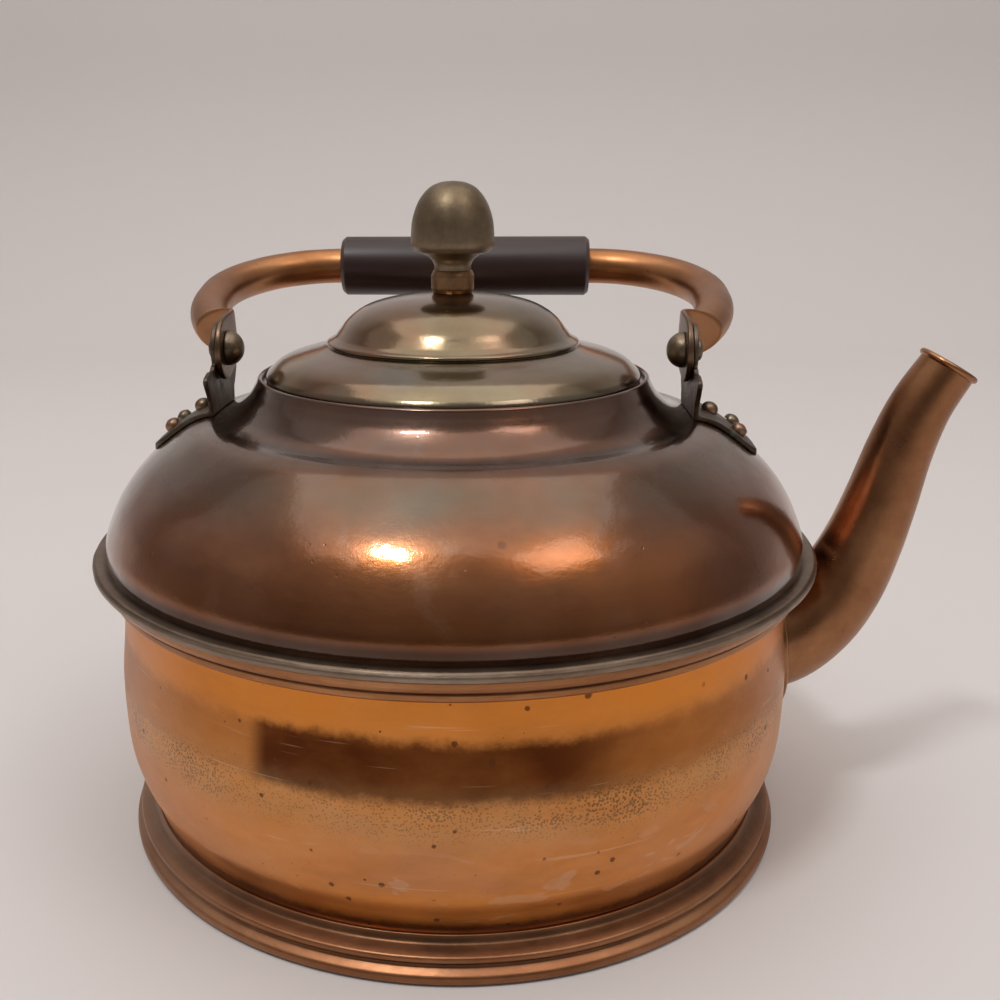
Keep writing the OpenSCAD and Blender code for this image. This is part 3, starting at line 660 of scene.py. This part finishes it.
def bail_mesh(name, sign):
    """One half of the bent tube, squashed into a rounded tab at its end."""
    bm = bmesh.new()
    rings = []
    n = 48
    for (x, z, lean, a, b, sq) in bail_path():
        t = math.radians(lean)
        # lean is measured from the vertical; the ring lies across the path
        ax = Vector((math.cos(t), 0, math.sin(t)))
        ring = []
        for k in range(n):
            q = 2 * math.pi * k / n
            c, s = math.cos(q), math.sin(q)
            e = 2.0 / sq
            u = math.copysign(abs(c) ** e, c) * a
            w = math.copysign(abs(s) ** e, s) * b
            p = Vector((x, 0, z)) + ax * u + Vector((0, w, 0))
            dn = 0.06 * noise.noise(Vector((p.x * sign, p.y, p.z)) / 11.0)
            p += (ax * c + Vector((0, s, 0))) * (dn - 0.06)
            ring.append(bm.verts.new(bail_turn @ (Vector((p.x * sign, p.y, p.z)) * MM)))
        rings.append(ring)
    for i in range(len(rings) - 1):
        for k in range(n):
            l = (k + 1) % n
            bm.faces.new((rings[i][k], rings[i + 1][k], rings[i + 1][l], rings[i][l]))
    bm.faces.new(rings[-1])
    return bm


halves = bail_mesh("r", 1)
other = bail_mesh("l", -1)
tmp = bpy.data.meshes.new("tmp")
other.to_mesh(tmp)
other.free()
halves.from_mesh(tmp)
bpy.data.meshes.remove(tmp)
finish_mesh(halves, "bail_rod", "bail", ["bail_tube"], MATS["bail_copper"], 50)

GRIP_BORE, GRIP_END_R, GRIP_SHOULDER = 6.25, 9.4, 43.2
grip_prof = fillet([(GRIP_BORE, -GRIP_HALF), (GRIP_END_R, -GRIP_HALF, 0.5), (GRIP_R, -GRIP_SHOULDER, 0.8),
                    (GRIP_R, GRIP_SHOULDER, 0.8), (GRIP_END_R, GRIP_HALF, 0.5), (GRIP_BORE, GRIP_HALF)], 5)
dense = []
for i, p in enumerate(grip_prof):
    q = grip_prof[(i + 1) % len(grip_prof)]
    n = max(1, int((q - p).length / 2.5))
    dense += [p + (q - p) * j / n for j in range(n)]
grip_place = bail_turn @ Matrix.Translation((0, 0, BAIL_H * MM)) @ Matrix.Rotation(math.pi / 2, 4, "Y")


def grip_wear(x, y, z, r):
    return -0.12 * (0.5 + 0.5 * noise.noise(Vector((x / 6, y / 6, z / 22))))


finish_mesh(lathe_bm(dense, 96, grip_wear, place=grip_place), "grip_sleeve", "bail", ["grip"],
            MATS["black_wood"])


# ---------------------------------------------------------------- spout
SPOUT = [(88, 52, 17), (101, 55.2, 16.2), (111, 62, 14.5), (118.8, 72.4, 12.8), (124.3, 85.4, 11.4),
         (128.4, 99.2, 10.4), (132, 113.2, 9.5), (136.6, 126.2, 8.8), (143, 137.6, 8.2)]


def wall_r(z):
    """Outer radius of the lower wall at height z, in mm."""
    for a, b in zip(wall, wall[1:]):
        if a.y <= z <= b.y and b.y > a.y:
            return a.x + (b.x - a.x) * (z - a.y) / (b.y - a.y)
    return wall[-1].x


def spout_line(n=7):
    c = [Vector(p) for p in SPOUT]
    out = []
    for i in range(len(c) - 1):
        a, b, d, e = c[max(i - 1, 0)], c[i], c[i + 1], c[min(i + 2, len(c) - 1)]
        out += [catmull(a, b, d, e, j / n) for j in range(n)]
    return out + [c[-1]]


def spout_mesh():
    """Curved tapering tube, outer skin, rolled lip and inner skin in one closed surface."""
    line = spout_line()
    bm = bmesh.new()
    n = 96
    rings = []

    def ring(i, rad, lift=0.0):
        a, b = line[max(i - 1, 0)], line[min(i + 1, len(line) - 1)]
        d = Vector((b.x - a.x, 0, b.y - a.y)).normalized()
        side = Vector((d.z, 0, -d.x))
        base = Vector((line[i].x, 0, line[i].y)) + d * lift
        vs = []
        for k in range(n):
            t = 2 * math.pi * k / n
            p = base + side * (rad * math.cos(t)) + Vector((0, rad * math.sin(t), 0))
            dent = -0.1 * (0.5 + 0.5 * noise.noise(p / 9.0))
            p += (side * math.cos(t) + Vector((0, math.sin(t), 0))) * dent
            r = math.hypot(p.x, p.y)
            wr = wall_r(p.z)
            if r < wr - 0.4:
                # inside the wall: slide out along the tube until it meets the wall
                for _ in range(40):
                    p += d * 0.5
                    if math.hypot(p.x, p.y) >= wall_r(p.z) - 0.4:
                        break
            vs.append(bm.verts.new(p * MM))
        return vs
    last = len(line) - 1
    for i in range(last + 1):
        rings.append(ring(i, line[i].z))
    tip = line[last].z
    for dr, up in ((0.45, 0.15), (0.85, 0.55), (0.95, 1.0), (0.8, 1.5), (0.4, 1.85), (-0.1, 1.95),
                   (-0.7, 1.7), (-1.15, 1.1), (-1.25, 0.2)):
        rings.append(ring(last, tip + dr, up))
    for i in range(last - 1, -1, -1):
        rings.append(ring(i, line[i].z - SPOUT_WALL))
    for i in range(len(rings)):
        a, b = rings[i], rings[(i + 1) % len(rings)]
        for k in range(n):
            q = [a[k], b[k], b[(k + 1) % n], a[(k + 1) % n]]
            if len(set(q)) == 4:
                try:
                    bm.faces.new(q)
                except ValueError:
                    pass
    return bm


finish_mesh(spout_mesh(), "spout_tube", "kettle", ["spout", "spout_lip"],
            MATS["spout_copper"], 50)


def spout_collar():
    """Flange hammered to the round wall, with a rounded outer edge, round the spout's root."""
    bm = bmesh.new()
    n = 96
    a, b = Vector(SPOUT[0]), Vector(SPOUT[1])
    d = Vector((b.x - a.x, 0, b.y - a.y)).normalized()
    side = Vector((d.z, 0, -d.x))
    rows = []
    for rad, up in ((15.6, -0.2), (15.6, 1.15), (17.0, 1.18), (18.4, 1.12), (20.2, 1.0), (20.8, 0.8),
                    (21.1, 0.4), (21.1, -0.2)):
        row = []
        for k in range(n):
            t = 2 * math.pi * k / n
            q = Vector((a.x, 0, a.y)) + side * (rad * math.cos(t)) + Vector((0, rad * math.sin(t), 0))
            # along the root's axis out to the wall
            for _ in range(80):
                if math.hypot(q.x, q.y) >= wall_r(q.z):
                    break
                q += d * 0.3
            wr = wall_r(q.z) + up
            h = math.hypot(q.x, q.y)
            row.append(bm.verts.new(Vector((q.x * wr / h, q.y * wr / h, q.z)) * MM))
        rows.append(row)
    for i in range(len(rows)):
        p, q = rows[i], rows[(i + 1) % len(rows)]
        for k in range(n):
            bm.faces.new((p[k], q[k], q[(k + 1) % n], p[(k + 1) % n]))
    return bm


finish_mesh(spout_collar(), "spout_root_collar", "kettle", ["spout_flange"],
            MATS["spout_copper"], 50)


# ---------------------------------------------------------------- ears
def worn_copy(node, name, body, mat, voxel=0.32, rounds=3):
    """A rounded, slightly beaten copy of a CAD sheet part."""
    me = frame["nodes"][node].data.copy()
    me.name = name
    ob = bpy.data.objects.new(name, me)
    bpy.context.scene.collection.objects.link(ob)
    r = ob.modifiers.new("r", "REMESH")
    r.mode = "VOXEL"
    r.voxel_size = voxel * MM
    r.adaptivity = 0.0
    s = ob.modifiers.new("s", "SMOOTH")
    s.factor = 0.5
    s.iterations = rounds
    dg = bpy.context.evaluated_depsgraph_get()
    new = bpy.data.meshes.new_from_object(ob.evaluated_get(dg))
    ob.modifiers.clear()
    ob.data = new
    bpy.data.meshes.remove(me)
    places = [v.co.copy() for v in new.vertices]
    normals = [v.normal.copy() for v in new.vertices]
    for v, p, q in zip(new.vertices, places, normals):
        v.co = p + q * (0.07 * noise.noise(p / MM / 3.1) - 0.05) * MM
    new.materials.clear()
    new.materials.append(mat)
    new.shade_smooth()
    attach(ob, body)
    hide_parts(node)


for side in ("left", "right"):
    worn_copy("ear_" + side, "ear_plate_" + side, "kettle", MATS["tarnished_brass"])

# ---------------------------------------------------------------- rivets
RIVETS = [(75.3, 0.0, 22.5), (82.6, 6.2, 39.0), (82.6, -6.2, 39.0)]


def dome_z(r):
    for a, b in zip(shoulder, shoulder[1:]):
        if b.x <= r <= a.x:
            return a.y + (b.y - a.y) * (r - a.x) / (b.x - a.x)
    return shoulder[-1].y


def rivet_outline(size, flat):
    """Hammered head, shank and inner head, a little different each time."""
    head = curve([(2.68 * size, 1.55), (2.64 * size, 2.3), (2.35 * size, 3.05), (1.7 * size, 3.7 - flat),
                  (0.85 * size, 4.05 - flat), (0, 4.2 - flat)], 4)
    stem = [(0, -2.95), (2.3, -2.95), (2.5, -2.6), (2.5, -1.6), (1.55, -1.55), (1.55, 1.54)]
    return [Vector(p) for p in stem] + head


def hammered(depth, scale, offset):
    """Small dents of a hammered head."""
    def f(x, y, z, r):
        return -depth * (0.5 + 0.5 * noise.noise(Vector((x, y, z)) / scale + offset))
    return f


for side, turn in (("left", math.pi), ("right", 0.0)):
    bm = bmesh.new()
    for k, (x, y, tilt) in enumerate(RIVETS):
        r = math.hypot(x, y)
        place = (Matrix.Rotation(turn + math.atan2(y, x), 4, "Z")
                 @ Matrix.Translation(Vector((r, 0, dome_z(r))) * MM)
                 @ Matrix.Rotation(math.radians(tilt), 4, "Y"))
        seed = k * 3.7 + turn
        lathe_bm(rivet_outline(0.97 - 0.03 * k, 0.25 * k * 0.5), 48,
                 hammered(0.16, 2.2, Vector((seed, seed, seed))), bm, place)
    ob = finish_mesh(bm, "foot_rivets_" + side, "kettle", ["ear_rivets_" + side],
                     MATS["rivet_brass"], 55)
    # the rivet nearest the front shows more copper
    ob.data.materials.append(MATS["worn_rivet"])
    for f in ob.data.polygons:
        if f.center.y < -2 * MM:
            f.material_index = 1
    place = (Matrix.Rotation(turn, 4, "Z") @ Matrix.Translation((0, 0, PIVOT_Z * MM))
             @ Matrix.Rotation(math.pi / 2, 4, "Y"))
    tx = EAR_X - TAB_GAP - TAB_T
    out = EAR_X + EAR_T
    head = curve([(0, tx - 4.85), (1.6, tx - 4.7), (3.1, tx - 4.05), (4.3, tx - 2.95), (5.0, tx - 1.7),
                  (5.25, tx - 0.5), (5.25, tx - 0.12)], 4)
    shank = [(2.58, tx - 0.12), (2.58, out + 0.02), (3.2, out + 0.02), (3.25, out + 1.0), (3.0, out + 1.5),
             (2.4, out + 1.85), (0, out + 1.95)]
    prof = head + [Vector(p) for p in shank]
    pin = lathe_bm(prof, 64, hammered(0.14, 3.0, Vector((turn, 2, 5))), None, place)
    finish_mesh(pin, "pivot_pin_" + side, "kettle", ["pivot_rivet_" + side],
                MATS["rivet_brass"], 50)

# ---------------------------------------------------------------- what stays CAD gets its material
SLOTS = {s["node"]: s["material_slot"] for s in frame["record"]["subparts"]}
for node, ob in frame["nodes"].items():
    m = MATS.get(SLOTS[node])
    if m is not None:
        ob.data.materials.clear()
        ob.data.materials.append(m)

# ---------------------------------------------------------------- floor, light, camera
def stage_piece(name, verts, faces, colour, rough):
    me = bpy.data.meshes.new(name)
    me.from_pydata(verts, [], faces)
    me.shade_smooth()
    ob = bpy.data.objects.new(name, me)
    bpy.context.scene.collection.objects.link(ob)
    m = Mat(name)
    n = m.noise(3.0, 3, 0.5)
    m.set(Base_Color=m.mix(n, tuple(c * 0.97 for c in colour), colour), Roughness=rough)
    m.b.inputs["Specular IOR Level"].default_value = 0.2
    me.materials.append(m.m)


verts, faces = [], []
prof = [(-3.0, 0.0), (0.9, 0.0)] + [(0.9 + 0.35 * math.sin(a), 0.35 - 0.35 * math.cos(a)) for a in
                                    [math.pi / 2 * k / 12 for k in range(1, 13)]] + [(1.25, 2.6)]
for y, z in prof:
    verts += [(-3.5, y, z), (3.5, y, z)]
for i in range(len(prof) - 1):
    faces.append((2 * i, 2 * i + 1, 2 * i + 3, 2 * i + 2))
stage_piece("floor_sweep", verts, faces, (0.74, 0.70, 0.685), 0.55)


def area(name, loc, target, size, power, colour, sy=None):
    l = bpy.data.lights.new(name, "AREA")
    l.shape = "RECTANGLE"
    l.size, l.size_y = size, sy or size
    l.energy = power
    l.color = colour
    ob = bpy.data.objects.new(name, l)
    bpy.context.scene.collection.objects.link(ob)
    ob.location = loc
    ob.rotation_euler = (Vector(target) - Vector(loc)).to_track_quat("-Z", "Y").to_euler()


area("key_cool", (-0.42, -0.75, 1.7), (0, 0, 0.1), 0.27, 8.5, (0.95, 0.98, 1.0), 0.17)
area("fill_warm", (0.75, -0.6, 1.45), (0, 0, 0.1), 0.58, 2.3, (1.0, 0.90, 0.84), 0.4)
area("wall_wash", (0.0, 0.45, 2.3), (0, 0.9, 0.3), 2.8, 26, (1.0, 0.96, 0.93))

w = bpy.data.worlds.new("studio")
bpy.context.scene.world = w
w.use_nodes = True
wt = w.node_tree
wt.nodes.clear()
wo = wt.nodes.new("ShaderNodeOutputWorld")
bg = wt.nodes.new("ShaderNodeBackground")
tc = wt.nodes.new("ShaderNodeTexCoord")
sep = wt.nodes.new("ShaderNodeSeparateXYZ")
rp = wt.nodes.new("ShaderNodeValToRGB")
wt.links.new(tc.outputs["Generated"], sep.inputs[0])
wt.links.new(sep.outputs["Z"], rp.inputs[0])
stops = [(0.0, (0.20, 0.18, 0.17)), (0.10, (0.12, 0.10, 0.09)), (0.34, (0.20, 0.175, 0.16)),
         (0.55, (0.34, 0.315, 0.30)), (0.85, (0.50, 0.48, 0.465))]
e = rp.color_ramp.elements
while len(e) < len(stops):
    e.new(0.5)
for k, (pos, c) in enumerate(stops):
    e[k].position, e[k].color = pos, (*c, 1)
wt.links.new(rp.outputs[0], bg.inputs[0])
sq = wt.nodes.new("ShaderNodeMath")
sq.operation = "POWER"
ab = wt.nodes.new("ShaderNodeMath")
ab.operation = "ABSOLUTE"
wt.links.new(sep.outputs["X"], ab.inputs[0])
wt.links.new(ab.outputs[0], sq.inputs[0])
sq.inputs[1].default_value = 2.0
side = wt.nodes.new("ShaderNodeMath")
side.operation = "MULTIPLY_ADD"
wt.links.new(sq.outputs[0], side.inputs[0])
side.inputs[1].default_value, side.inputs[2].default_value = 0.9, 0.75
wt.links.new(side.outputs[0], bg.inputs[1])
wt.links.new(bg.outputs[0], wo.inputs[0])

cam_data = bpy.data.cameras.new("camera")
cam = bpy.data.objects.new("camera", cam_data)
bpy.context.scene.collection.objects.link(cam)
cam_data.sensor_width = 36
cam_data.lens = 41.44
cam_data.shift_x = 0.061
cam_data.clip_start, cam_data.clip_end = 0.01, 50
yaw, pitch, roll = math.radians(3.73), math.radians(15.91), math.radians(-0.30)
look = Vector((-math.sin(yaw) * math.cos(pitch), math.cos(yaw) * math.cos(pitch), -math.sin(pitch)))
q = look.to_track_quat("-Z", "Y")
cam.rotation_mode = "QUATERNION"
cam.location = (0.0178, -0.3394, 0.1931)
cam.rotation_quaternion = q @ Matrix.Rotation(roll, 4, "Z").to_quaternion()
bpy.context.scene.camera = cam
bpy.context.scene.view_settings.view_transform = "Standard"
